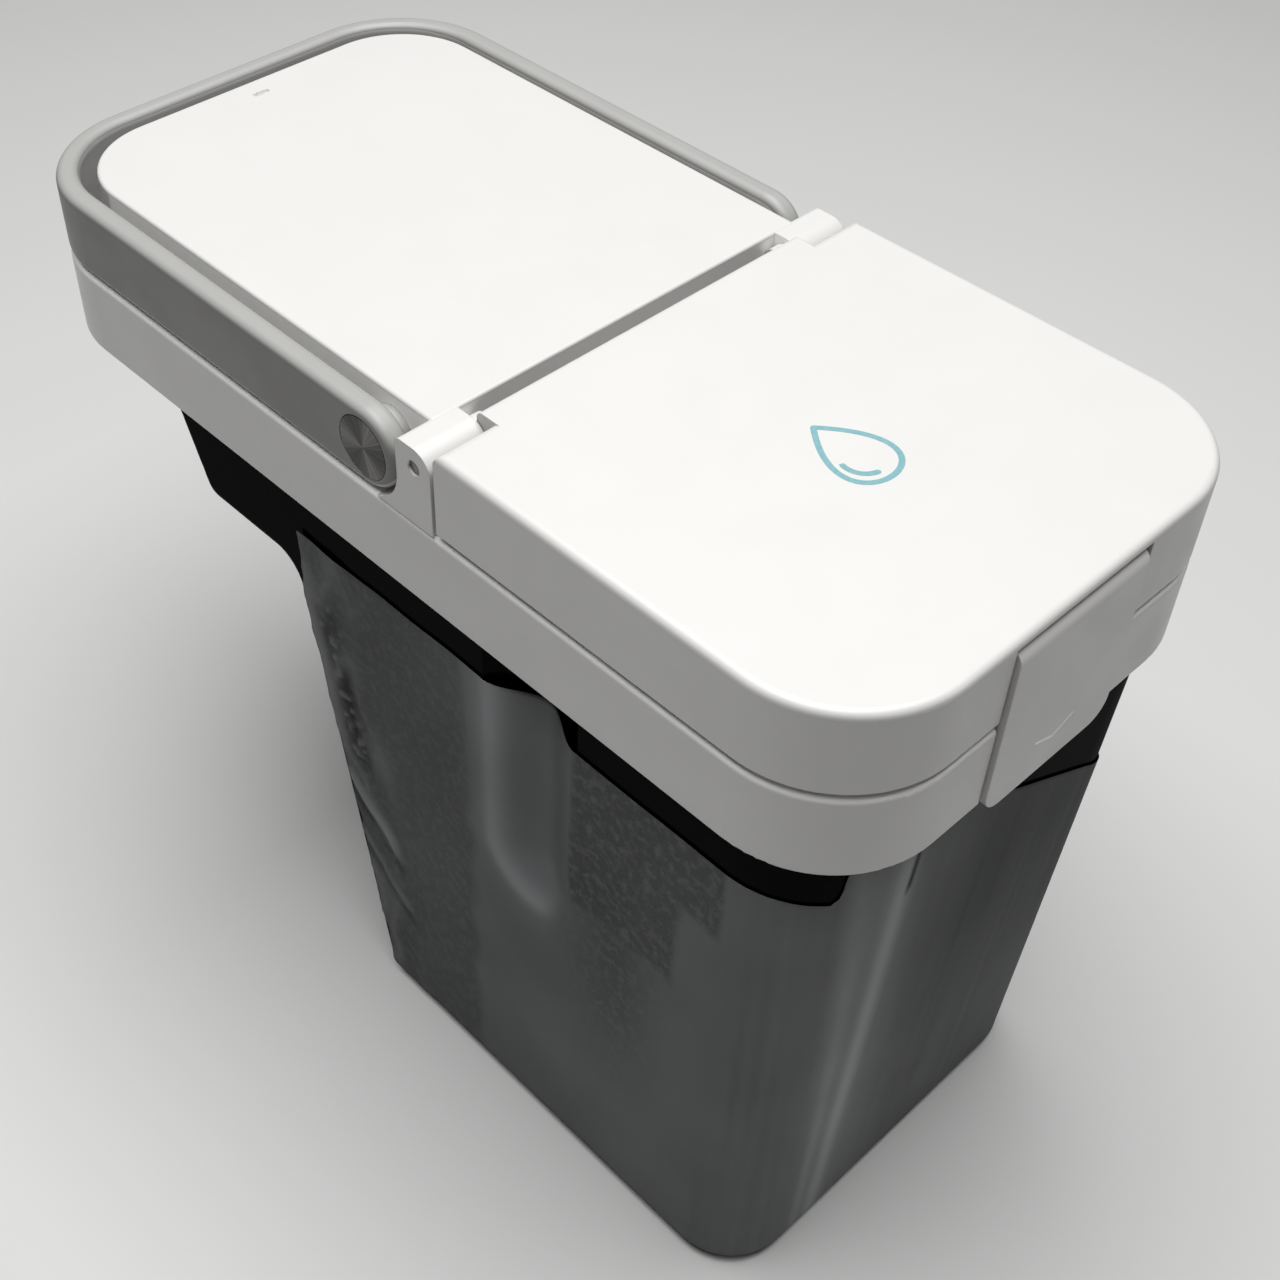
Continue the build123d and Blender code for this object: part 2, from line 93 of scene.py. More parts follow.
class Graph:
    """One material's node tree, with short calls for the nodes that the finishes share."""

    def __init__(self, name: str) -> None:
        """Start a material that has a Principled shader and reads Object coordinates.

        Args:
            name: The material's name.
        """
        self.material = bpy.data.materials.new(name)
        self.material.use_nodes = True
        self.tree = self.material.node_tree
        self.tree.nodes.clear()
        self.shader = self.node("ShaderNodeBsdfPrincipled")
        self.node("ShaderNodeOutputMaterial", self.shader.outputs["BSDF"])
        self.coords = self.node("ShaderNodeTexCoord").outputs
        self.place = self.coords["Object"]

    def node(self, kind: str, *values: object, **settings: object) -> bpy.types.Node:
        """Add a node.

        Args:
            kind: Blender's name for the node type.
            values: Values or sockets for its first inputs, in order.
            settings: Properties to set on it.

        Returns:
            The new node.
        """
        made = self.tree.nodes.new(kind)
        for key, value in settings.items():
            setattr(made, key, value)
        for socket, value in zip(made.inputs, values):
            self.feed(socket, value)
        return made

    def feed(self, socket: Socket, value: object) -> None:
        """Link an input to another socket, or set it to a plain value.

        Args:
            socket: The input to fill.
            value: A socket, a number, a colour or a vector.
        """
        if isinstance(value, bpy.types.NodeSocket):
            self.tree.links.new(value, socket)
        elif isinstance(value, tuple) and socket.type == "RGBA":
            socket.default_value = (*value, 1.0)
        else:
            socket.default_value = value

    def dress(self, **inputs: object) -> bpy.types.Material:
        """Fill the shader's inputs.

        Args:
            inputs: Values or sockets by input name, with _ for each blank.

        Returns:
            The finished material.
        """
        for key, value in inputs.items():
            self.feed(self.shader.inputs[key.replace("_", " ")], value)
        return self.material

    def math(self, operation: str, first: object, second: object = 0.0) -> Socket:
        """Combine two numbers or sockets by one of Blender's math operations."""
        return self.node("ShaderNodeMath", first, second, operation=operation).outputs[0]

    def noise(self, size: float, detail: float = 4.0, rough: float = 0.5,
              place: Socket | None = None) -> Socket:
        """Add fractal noise.

        Args:
            size: Width of its largest features.
            detail: Number of finer octaves.
            rough: Strength of each finer octave.
            place: Coordinates to read, the object's own if left out.

        Returns:
            The noise value's socket, from 0 to 1.
        """
        made = self.node("ShaderNodeTexNoise")
        self.feed(made.inputs["Vector"], place or self.place)
        self.feed(made.inputs["Scale"], 1.0 / size)
        self.feed(made.inputs["Detail"], detail)
        self.feed(made.inputs["Roughness"], rough)
        return made.outputs[0]

    def spread(self, value: Socket, low: float, high: float,
               start: float = 0.0, end: float = 1.0) -> Socket:
        """Map low to high smoothly on to start to end, and stop at both ends."""
        numbers = (value, low, high, start, end)
        return self.node("ShaderNodeMapRange", *numbers, interpolation_type="SMOOTHSTEP").outputs[0]

    def tint(self, share: Socket, first: object, second: object) -> Socket:
        """Mix two colours.

        Args:
            share: How much of the second colour to take.
            first: Colour or socket where share is 0.
            second: Colour or socket where share is 1.

        Returns:
            The mixed colour's socket.
        """
        made = self.node("ShaderNodeMix", data_type="RGBA")
        self.feed(made.inputs["Factor"], share)
        # The sockets for colours come after those for numbers and vectors, which have the same names.
        self.feed(made.inputs[6], first)
        self.feed(made.inputs[7], second)
        return made.outputs[2]

    def bump(self, height: Socket, depth: float, normal: Socket | None = None) -> Socket:
        """Turn a height pattern into a bumped normal.

        Args:
            height: The pattern, from 0 to 1.
            depth: Height of the pattern's full range.
            normal: Normal to start from, the surface's own if left out.

        Returns:
            The bumped normal's socket.
        """
        made = self.node("ShaderNodeBump")
        self.feed(made.inputs["Height"], height)
        self.feed(made.inputs["Distance"], depth)
        if normal is not None:
            self.feed(made.inputs["Normal"], normal)
        return made.outputs[0]

    def soft_edges(self, radius: float) -> Socket:
        """Give a normal that rounds the shading of sharp edges to a radius."""
        return self.node("ShaderNodeBevel", radius, samples=4).outputs[0]

    def upward(self, upright: float = 0.15, level: float = 0.75) -> Socket:
        """Give 0 on the faces that stand upright, with the piece at rest, and 1 on those that look up."""
        apart = self.node("ShaderNodeSeparateXYZ", self.coords["Normal"])
        return self.spread(apart.outputs["Z"], upright, level)

    def offset(self, middle: tuple[float, float, float]) -> Socket:
        """Give the way from a point to the place."""
        return self.node("ShaderNodeVectorMath", self.place, middle, operation="SUBTRACT").outputs[0]

    def outward(self, middle: tuple[float, float, float], reach: float, blend: float = 2 * MM) -> Socket:
        """Tell whether a face looks away from a middle, further out than a reach.

        Args:
            middle: The point to look away from.
            reach: Distance from it, along the face's normal, where the answer changes.
            blend: Distance to each side over which it changes.

        Returns:
            0 on faces nearer than the reach and 1 on those beyond it.
        """
        facing = self.node("ShaderNodeVectorMath", self.coords["Normal"], self.offset(middle),
                           operation="DOT_PRODUCT")
        return self.spread(facing.outputs["Value"], reach - blend, reach + blend)

    def attribute(self, name: str) -> Socket:
        """Read a number that the mesh carries at its vertices."""
        return self.node("ShaderNodeAttribute", attribute_name=name).outputs["Fac"]


@dataclass(frozen=True)
class MouldedPlastic:
    """Satin moulded plastic with a fine eroded grain and faint flow marks.

    The faces that look up take the lit top's colour, a painted light from above that leaves the upright
    sides in painted shade. Those that face the middle, or lie nearer to it than the lit recess's reach,
    take the lit recess colour, painted light in the hollows. Each applies where it is given.
    """

    name: str
    colour: Colour
    lit_top: Colour | None = None
    lit_recess: Colour | None = None
    middle: tuple[float, float, float] = (0.0, 50 * MM, 0.0)
    lit_recess_reach: float = 0.0
    flow_shade: float = 0.03
    flow_size: float = 60 * MM
    flow_range: Range = (0.35, 0.65)
    roughness: float = 0.42
    gloss_swing: float = 0.04
    grain_size: float = 0.45 * MM
    grain_depth: float = 0.012 * MM
    edge_radius: float = 0.4 * MM

    def build(self) -> bpy.types.Material:
        """Make the material.

        Returns:
            The finished material.
        """
        graph = Graph(self.name)
        darker = tuple(channel * (1 - self.flow_shade) for channel in self.colour)
        flow = graph.spread(graph.noise(self.flow_size, detail=3.0), *self.flow_range)
        grain = graph.noise(self.grain_size, detail=2.0)
        gloss = graph.spread(graph.noise(self.flow_size / 4), *NOISE_SPAN,
                             self.roughness - self.gloss_swing, self.roughness + self.gloss_swing)
        normal = graph.bump(grain, self.grain_depth, graph.soft_edges(self.edge_radius))
        paint = graph.tint(flow, self.colour, darker)
        # Painted light: faces that face the middle or lie near it take the lighter lit recess colour.
        if self.lit_recess:
            paint = graph.tint(graph.outward(self.middle, self.lit_recess_reach), self.lit_recess, paint)
        # Painted light and shade: faces that look up take the lighter top colour, and upright sides keep
        # the darker base.
        if self.lit_top:
            paint = graph.tint(graph.upward(), paint, self.lit_top)
        return graph.dress(Base_Color=paint, Roughness=gloss, Normal=normal)


@dataclass(frozen=True)
class SmokePlastic:
    """Polished smoke-black plastic with a faint ripple and a little dust."""

    name: str
    colour: Colour = (0.0012, 0.0012, 0.0014)
    dust: Colour = (0.004, 0.004, 0.0043)
    roughness: float = 0.14
    dust_roughness: float = 0.29
    gleam: float = 0.045
    ripple_size: float = 45 * MM
    ripple_depth: float = 0.05 * MM
    dust_size: float = 6 * MM
    dust_range: Range = (0.55, 0.8)

    def build(self) -> bpy.types.Material:
        """Make the material.

        Returns:
            The finished material.
        """
        graph = Graph(self.name)
        ripple = graph.noise(self.ripple_size, detail=1.0)
        speck = graph.spread(graph.noise(self.dust_size, detail=6.0, rough=0.7), *self.dust_range)
        gloss = graph.spread(speck, 0.0, 1.0, self.roughness, self.dust_roughness)
        normal = graph.bump(ripple, self.ripple_depth)
        return graph.dress(Base_Color=graph.tint(speck, self.colour, self.dust), Roughness=1.0,
                           Specular_IOR_Level=0.0, Coat_Weight=self.gleam, Coat_Roughness=gloss,
                           Normal=normal, Coat_Normal=normal)


@dataclass(frozen=True)
class ClearFilm:
    """Clear film over the dark tank: a mottled, creased grey haze with painted highlights and painted
    shade.
    """

    name: str
    clear: Colour = (0.0035, 0.0036, 0.004)
    hazy: Colour = (0.33, 0.337, 0.343)
    frost_and_crest_light: Colour = (0.22, 0.223, 0.227)
    roughness: float = 0.34
    mottle_roughness: float = 0.54
    gleam: float = 0.16
    speckle_size: float = 3.2 * MM
    speckle_range: Range = (0.44, 0.64)
    speckle_depth: float = 0.1 * MM
    speckle_share: float = 0.26
    crest_light_share: float = 0.75
    drift_size: float = 60 * MM
    drift_range: Range = (0.88, 1.12)

    def build(self) -> bpy.types.Material:
        """Make the material.

        Returns:
            The finished material.
        """
        graph = Graph(self.name)
        haze_and_light, mottle, crease = (graph.attribute(layer) for layer in TankFilm.LAYERS)
        drift = graph.spread(graph.noise(self.drift_size, detail=2.0), *NOISE_SPAN, *self.drift_range)
        speckle = graph.noise(self.speckle_size, detail=6.0, rough=0.68)
        spots = graph.math("MULTIPLY", graph.spread(speckle, *self.speckle_range), mottle)
        # The haze layer holds the film's own haze together with painted highlights and painted shade.
        base = graph.tint(graph.math("MULTIPLY", haze_and_light, drift), self.clear, self.hazy)
        base = graph.tint(graph.math("MULTIPLY", spots, self.speckle_share), base, self.frost_and_crest_light)
        # Painted highlight: creases are tinted lighter along their crests, besides being raised.
        base = graph.tint(graph.math("MULTIPLY", crease, self.crest_light_share), base, self.frost_and_crest_light)
        gloss = graph.spread(mottle, 0.0, 1.0, self.roughness, self.mottle_roughness)
        normal = graph.bump(spots, self.speckle_depth)
        return graph.dress(Base_Color=base, Roughness=1.0, Specular_IOR_Level=0.0, Coat_Weight=self.gleam,
                           Coat_Roughness=gloss, Normal=normal, Coat_Normal=normal)


@dataclass(frozen=True)
class BrushedDisc:
    """Dark metal disc, brushed from its middle outwards, with a painted reflection of light fans."""

    name: str
    centre: Vector
    dark: Colour = (0.022, 0.021, 0.02)
    light: Colour = (0.24, 0.235, 0.225)
    light_range: Range = (0.4, 0.8)
    roughness: Range = (0.26, 0.44)
    streaks: float = 34.0
    streak_depth: float = 0.02 * MM
    reflection_fans: float = 3.0
    reflection_share: float = 0.08

    def build(self) -> bpy.types.Material:
        """Make the material.

        Returns:
            The finished material.
        """
        graph = Graph(self.name)
        apart = graph.node("ShaderNodeSeparateXYZ", graph.offset(tuple(self.centre)))
        angle = graph.math("ARCTAN2", apart.outputs["Z"], apart.outputs["Y"])
        ring = graph.node("ShaderNodeCombineXYZ", graph.math("COSINE", angle), graph.math("SINE", angle))
        fine = graph.noise(1.0 / self.streaks, detail=5.0, rough=0.7, place=ring.outputs[0])
        # Painted reflection: light fans round the middle, mixed with the brush streaks into the colour.
        reflection_fan = graph.math("COSINE", graph.math("MULTIPLY", angle, self.reflection_fans))
        streaks_and_reflection = graph.math("ADD", graph.math("MULTIPLY", reflection_fan, self.reflection_share), fine)
        gloss = graph.spread(fine, *NOISE_SPAN, *self.roughness)
        paint = graph.tint(graph.spread(streaks_and_reflection, *self.light_range), self.dark, self.light)
        return graph.dress(Base_Color=paint, Metallic=1.0, Roughness=gloss,
                           Normal=graph.bump(fine, self.streak_depth))


@dataclass(frozen=True)
class TurnedSteel:
    """Bare steel with fine turning marks along its axis."""

    name: str
    colour: Colour = (0.2, 0.196, 0.19)
    stain: Colour = (0.12, 0.117, 0.113)
    roughness: Range = (0.26, 0.46)
    mark_size: float = 0.35 * MM
    mark_depth: float = 0.01 * MM
    stain_size: float = 4 * MM
    stain_range: Range = (0.35, 0.7)

    def build(self) -> bpy.types.Material:
        """Make the material.

        Returns:
            The finished material.
        """
        graph = Graph(self.name)
        marks = graph.noise(self.mark_size, detail=3.0)
        cloud = graph.spread(graph.noise(self.stain_size), *self.stain_range)
        gloss = graph.spread(marks, *NOISE_SPAN, *self.roughness)
        return graph.dress(Base_Color=graph.tint(cloud, self.colour, self.stain), Metallic=1.0,
                           Roughness=gloss, Normal=graph.bump(marks, self.mark_depth))


@dataclass(frozen=True)
class SoftRubber:
    """Matt rubber with a fine talc bloom."""

    name: str
    colour: Colour = (0.035, 0.035, 0.037)
    bloom: Colour = (0.085, 0.085, 0.088)
    roughness: Range = (0.72, 0.84)
    bloom_size: float = 5 * MM
    bloom_range: Range = (0.4, 0.75)
    grain_size: float = 0.3 * MM
    grain_depth: float = 0.02 * MM

    def build(self) -> bpy.types.Material:
        """Make the material.

        Returns:
            The finished material.
        """
        graph = Graph(self.name)
        cloud = graph.spread(graph.noise(self.bloom_size, detail=6.0, rough=0.65), *self.bloom_range)
        grain = graph.noise(self.grain_size, detail=2.0)
        gloss = graph.spread(cloud, 0.0, 1.0, *self.roughness)
        return graph.dress(Base_Color=graph.tint(cloud, self.colour, self.bloom), Roughness=gloss,
                           Normal=graph.bump(grain, self.grain_depth))


@dataclass(frozen=True)
class PrintedInk:
    """Pad-printed ink with a slightly uneven coat."""

    name: str
    colour: Colour = (0.165, 0.345, 0.375)
    thin: Colour = (0.195, 0.375, 0.4)
    roughness: Range = (0.36, 0.46)
    coat_size: float = 0.9 * MM
    coat_range: Range = (0.35, 0.7)

    def build(self) -> bpy.types.Material:
        """Make the material.

        Returns:
            The finished material.
        """
        graph = Graph(self.name)
        coat = graph.spread(graph.noise(self.coat_size, detail=4.0), *self.coat_range)
        gloss = graph.spread(coat, 0.0, 1.0, *self.roughness)
        return graph.dress(Base_Color=graph.tint(coat, self.colour, self.thin), Roughness=gloss)


@dataclass(frozen=True)
class PaleFloor:
    """Plain pale studio floor."""

    name: str
    colour: Colour = (0.62, 0.62, 0.615)
    shade: Colour = (0.6, 0.6, 0.596)
    roughness: float = 0.8
    gleam: float = 0.2
    cloud_size: float = 0.35
    grain_size: float = 1.2 * MM
    grain_depth: float = 0.01 * MM

    def build(self) -> bpy.types.Material:
        """Make the material.

        Returns:
            The finished material.
        """
        graph = Graph(self.name)
        cloud = graph.noise(self.cloud_size, detail=3.0)
        grain = graph.noise(self.grain_size, detail=2.0)
        return graph.dress(Base_Color=graph.tint(cloud, self.colour, self.shade), Roughness=self.roughness,
                           Specular_IOR_Level=self.gleam, Normal=graph.bump(grain, self.grain_depth))


Finish = (MouldedPlastic | SmokePlastic | ClearFilm | BrushedDisc | TurnedSteel | SoftRubber | PrintedInk
          | PaleFloor)
# Painted shade: the white shell's upright sides take a darker colour than its tops.
SHELL_SHADED_SIDE = (0.52, 0.515, 0.504)
SHELL_TOP = (0.605, 0.6, 0.587)
SHELL_GLOSS = 0.36
WHITE_PLASTIC_PAINTED_LIGHT = MouldedPlastic("white_plastic_painted_light", SHELL_SHADED_SIDE, SHELL_TOP, roughness=SHELL_GLOSS)
# Painted highlight: the collar's upward faces, including its rounded top edge, take a near-white colour
# over shaded sides.
COLLAR_PLASTIC_PAINTED_LIGHT = MouldedPlastic("collar_plastic_painted_light", SHELL_SHADED_SIDE, (0.86, 0.855, 0.84), roughness=SHELL_GLOSS)
# Painted light: cover faces that look towards the middle or lie near it, its recessed front wall among
# them, take a near-white colour.
COVER_PLASTIC_PAINTED_LIGHT = MouldedPlastic("cover_plastic_painted_light", SHELL_SHADED_SIDE, SHELL_TOP, (0.9, 0.895, 0.88),
                               lit_recess_reach=66 * MM, roughness=SHELL_GLOSS)
# Painted highlight: a pale strip in the latch's chevron groove stands in for the groove's lit wall.
CHEVRON_HIGHLIGHT_PLASTIC = MouldedPlastic("chevron_highlight_plastic", (0.95, 0.945, 0.93), roughness=SHELL_GLOSS)
INNER_PLASTIC = MouldedPlastic("inner_plastic", (0.7, 0.7, 0.69), roughness=0.5)
# Painted light and shade: upright sides take a dark grey, tops a lighter grey, and faces that look in
# towards the middle a lighter grey still.
GREY_PLASTIC_PAINTED_LIGHT = MouldedPlastic("grey_plastic_painted_light", (0.147, 0.145, 0.138), (0.34, 0.338, 0.328),
                              (0.4, 0.397, 0.388))
PIPE_PLASTIC = MouldedPlastic("pipe_plastic", (0.34, 0.35, 0.36), roughness=0.35, flow_shade=0.12)
SMOKE_PLASTIC = SmokePlastic("smoke_plastic")
STEEL = TurnedSteel("turned_steel")
RUBBER = SoftRubber("soft_rubber")


class Wardrobe:
    """Builds each finish once and puts it on nodes and new pieces."""

    def __init__(self, nodes: dict[str, bpy.types.Object]) -> None:
        """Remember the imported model's objects by node name."""
        self.nodes = nodes
        self.made: dict[str, bpy.types.Material] = {}

    def material(self, finish: Finish) -> bpy.types.Material:
        """Give a finish's material, made the first time it is asked for.

        Args:
            finish: One of the finish classes.

        Returns:
            Its material.
        """
        if finish.name not in self.made:
            self.made[finish.name] = finish.build()
        return self.made[finish.name]

    def put(self, piece: bpy.types.Object, finish: Finish) -> None:
        """Put a finish on an object as its only material.

        Args:
            piece: The object to dress.
            finish: One of the finish classes.
        """
        piece.data.materials.clear()
        piece.data.materials.append(self.material(finish))
        LOG.info("%s wears %s", piece.name, finish.name)

    def dress(self, finish: Finish, *names: str) -> None:
        """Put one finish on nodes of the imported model."""
        for name in names:
            self.put(self.nodes[name], finish)


def new_piece(name: str, mesh: bmesh.types.BMesh, body: Body) -> bpy.types.Object:
    """Turn a finished bmesh into an object that rides on a body.

    Args:
        name: The piece's name.
        mesh: Its shape, in place. It is freed here.
        body: The body that it moves with.

    Returns:
        The new object.
    """
    data = bpy.data.meshes.new(name)
    mesh.to_mesh(data)
    mesh.free()
    piece = bpy.data.objects.new(name, data)
    bpy.context.scene.collection.objects.link(piece)
    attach(piece, body.value)
    return piece


@dataclass
class DropMark:
    """The printed outline of a drop on the lid, with a short curved highlight inside.

    The middle of its line runs round a teardrop curve, whose turn is 0 at the tip and a half circle at
    the round end.
    """

    centre_x: float = -2.2 * MM
    tip_y: float = -76.4 * MM
    length: float = 22.4 * MM
    width: float = 16.0 * MM
    widest: float = 0.77
    line: float = 1.45 * MM
    proud: float = 0.05 * MM
    segments: int = 128
    weld: float = 0.002 * MM
    glint_y: float = -90.6 * MM
    glint_radius: float = 5.4 * MM
    glint_start: float = 160.0
    glint_sweep: float = 104.0
    glint_steps: int = 48
    glint_blunt: float = 0.02

    def __post_init__(self) -> None:
        """Find the lid's top and the curve's swing to each side."""
        self.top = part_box("lid_shell")[1].z
        self.swing = self.width / 2 / self.widest

    def curve(self, turn: float) -> Vector:
        """Give the point of the teardrop curve at a turn."""
        side = self.swing * math.sin(turn) * abs(math.sin(turn / 2))
        return Vector((side, self.tip_y - self.length * (1 - math.cos(turn)) / 2, 0.0))

    def outline(self) -> bmesh.types.BMesh:
        """Model the drop's ring between two circles that are bent to both edges of its line.

        Returns:
            The ring, raised by the thickness of the ink.
        """
        mesh = bmesh.new()
        step = math.pi / self.segments
        lean = math.atan(2 * self.swing / self.length)
        for reach in (self.line / 2, -self.line / 2):
            made = bmesh.ops.create_circle(mesh, radius=1.0, segments=self.segments)
            for vert in made["verts"]:
                turn = math.atan2(vert.co.x, vert.co.y)
                middle = self.curve(turn)
                along = self.curve(turn + step) - self.curve(turn - step)
                vert.co = middle + Vector((-along.y, along.x, 0.0)).normalized() * reach
                if reach < 0 and vert.co.x * middle.x <= 0 and abs(turn) < lean:
                    vert.co = Vector((0.0, self.tip_y + reach / math.sin(lean), 0.0))
        bmesh.ops.bridge_loops(mesh, edges=mesh.edges[:])
        bmesh.ops.dissolve_degenerate(mesh, edges=mesh.edges[:], dist=self.weld)
        return self.raised(mesh)

    def glint(self) -> bmesh.types.BMesh:
        """Model the highlight inside the drop by turning a short line, and round its ends.

        Returns:
            The curved bar, raised by the thickness of the ink.
        """
        mesh = bmesh.new()
        start = math.radians(self.glint_start)
        sweep = math.radians(self.glint_sweep)
        toward = Vector((math.cos(start), math.sin(start), 0.0))
        ends = [mesh.verts.new(toward * (self.glint_radius + offset * self.line)) for offset in (-0.5, 0.5)]
        edge = mesh.edges.new(ends)
        bmesh.ops.spin(mesh, geom=[*ends, edge], cent=(0, 0, 0), axis=(0, 0, 1),
                       steps=self.glint_steps, angle=sweep)
        for vert in mesh.verts:
            passed = (math.atan2(vert.co.y, vert.co.x) - start) % math.tau
            left = min(passed, abs(sweep - passed)) * self.glint_radius
            bulge = math.sqrt(max(1 - max(1 - 2 * left / self.line, 0.0) ** 2, self.glint_blunt))
            ring = self.glint_radius + (vert.co.length - self.glint_radius) * bulge
            vert.co = vert.co.normalized() * ring
        bmesh.ops.translate(mesh, verts=mesh.verts, vec=(0, self.glint_y, 0))
        return self.raised(mesh)

    def raised(self, mesh: bmesh.types.BMesh) -> bmesh.types.BMesh:
        """Give flat print its thickness and put it on the lid.

        Args:
            mesh: Flat faces at height 0.

        Returns:
            The same bmesh, in place.
        """
        made = bmesh.ops.extrude_face_region(mesh, geom=mesh.faces[:])
        lifted = [item for item in made["geom"] if isinstance(item, bmesh.types.BMVert)]
        bmesh.ops.translate(mesh, verts=lifted, vec=(0, 0, self.proud))
        bmesh.ops.translate(mesh, verts=mesh.verts, vec=(self.centre_x, 0, self.top))
        bmesh.ops.recalc_face_normals(mesh, faces=mesh.faces)
        return mesh

    def build(self, wardrobe: Wardrobe) -> None:
        """Make the two printed pieces and dress them.

        Args:
            wardrobe: The finishes.
        """
        ink = PrintedInk("teal_ink")
        wardrobe.put(new_piece("lid_drop_outline", self.outline(), Body.LID), ink)
        wardrobe.put(new_piece("lid_drop_glint", self.glint(), Body.LID), ink)


@dataclass
class Lid:
    """The flip lid with its liner, its seal and the printed drop."""

    mark: DropMark = field(default_factory=DropMark)

    def build(self, wardrobe: Wardrobe) -> None:
        """Dress the lid's nodes and print the mark.

        Args:
            wardrobe: The finishes.
        """
        wardrobe.dress(WHITE_PLASTIC_PAINTED_LIGHT, "lid_shell")
        wardrobe.dress(INNER_PLASTIC, "lid_inner_panel")
        wardrobe.dress(RUBBER, "lid_seal")
        wardrobe.dress(STEEL, "latch_pin", "lid_hinge_pin_left", "lid_hinge_pin_right")
        self.mark.build(wardrobe)


@dataclass
class Latch:
    """The latch flap at the front of the lid, with a pale strip in its chevron's groove as a painted
    highlight.
    """

    chevron_up: float = 9.0 * MM
    chevron_span: float = 14.0 * MM
    chevron_rise: float = 2.7 * MM
    highlight_width: float = 0.92 * MM
    highlight_sunk: float = 0.01 * MM
    highlight_thick: float = 0.36 * MM

    def chevron(self) -> bmesh.types.BMesh:
        """Model the painted highlight as a pale bent strip that is drawn back into the groove.

        Returns:
            The strip, in place.
        """
        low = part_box("latch_plate")[0]
        mesh = bmesh.new()
        rows: list[list[bmesh.types.BMVert]] = []
        for share in (-1, 0, 1):
            across = share * self.chevron_span / 2
            middle = low.z + self.chevron_up + abs(share) * self.chevron_rise
            ends = (middle - self.highlight_width / 2, middle + self.highlight_width / 2)
            rows.append([mesh.verts.new((across, low.y + self.highlight_sunk, height)) for height in ends])
        for first, second in zip(rows, rows[1:]):
            mesh.faces.new((first[0], second[0], second[1], first[1]))
        made = bmesh.ops.extrude_face_region(mesh, geom=mesh.faces[:], use_keep_orig=True)
        pushed = [item for item in made["geom"] if isinstance(item, bmesh.types.BMVert)]
        bmesh.ops.translate(mesh, verts=pushed, vec=(0, self.highlight_thick, 0))
        bmesh.ops.recalc_face_normals(mesh, faces=mesh.faces)
        return mesh

    def build(self, wardrobe: Wardrobe) -> None:
        """Dress the flap and lay the pale strip, a painted highlight, in the chevron's groove."""
        wardrobe.dress(WHITE_PLASTIC_PAINTED_LIGHT, "latch_plate")
        wardrobe.put(new_piece("latch_chevron_highlight", self.chevron(), Body.LATCH), CHEVRON_HIGHLIGHT_PLASTIC)


@dataclass
class Handle:
    """The bail handle with its pivots and brushed discs."""

    def build(self, wardrobe: Wardrobe) -> None:
        """Dress the bail, the pivots and a disc on each side.

        Args:
            wardrobe: The finishes.
        """
        wardrobe.dress(GREY_PLASTIC_PAINTED_LIGHT, "handle_bail")
        for side in Side:
            cap = "handle_cap" + side.value
            low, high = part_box(cap)
            wardrobe.dress(BrushedDisc("brushed_disc" + side.value, (low + high) / 2), cap)
            wardrobe.dress(STEEL, "handle_pivot" + side.value)
            wardrobe.dress(GREY_PLASTIC_PAINTED_LIGHT, "pivot_washer" + side.value)


@dataclass(frozen=True)
class Ramp:
    """A smooth climb from 0 at low to 1 at high, or a fall where low is the greater."""

    low: float
    high: float

    def at(self, value: float) -> float:
        """Give the curve's height at a value."""
        share = min(max((value - self.low) / (self.high - self.low), 0.0), 1.0)
        return share * share * (3.0 - 2.0 * share)


@dataclass(frozen=True)
class Window:
    """A smooth climb from start to full, and a fall from fade to end."""

    start: float
    full: float
    fade: float
    end: float

    def at(self, value: float) -> float:
        """Give the curve's height at a value."""
        return Ramp(self.start, self.full).at(value) * Ramp(self.end, self.fade).at(value)


@dataclass(frozen=True)
class Swell:
    """A bell that is highest in its middle and fades to both sides over its width."""

    middle: float
    width: float

    def at(self, value: float) -> float:
        """Give the curve's height at a value."""
        return math.exp(-((value - self.middle) / self.width) ** 2)


@dataclass(frozen=True)
class Crest:
    """Sharp crests along the lines where a noise crosses 0."""

    sharpness: int = 4

    def at(self, value: float) -> float:
        """Give the curve's height at a value."""
        return (1.0 - abs(value)) ** self.sharpness


Curve = Ramp | Window | Swell | Crest


class Zone:
    """A zone of the film: a strength, times its curves over the coordinates of a place."""

    def __init__(self, strength: float, **curves: Curve) -> None:
        """Keep the strength, and the curves by the coordinate that each one reads."""
        self.strength = strength
        self.curves = curves

    def at(self, place: dict[str, float]) -> float:
        """Give what the zone adds at a place."""
        return self.strength * math.prod(curve.at(place[key]) for key, curve in self.curves.items())


@dataclass(frozen=True)
class Streak:
    """A streak of light down the front corner, which leans and may widen towards its foot."""

    strength: float
    turn: float
    lean: float
    width: float
    flare: float = 0.0

    def at(self, turn: float, low: float) -> float:
        """Give the light at a turn, where low is 0 at the top and 1 at the foot."""
        return self.strength * Swell(self.turn + self.lean * low, self.width + self.flare * low).at(turn)


def crumple(along: float, up: float, size: float, seed: float) -> float:
    """Give a noise from -1 to 1 that is drawn out upwards, for creases of a size."""
    return noise.noise(Vector((along / size, CRUMPLE_STRETCH * up / size, seed)))


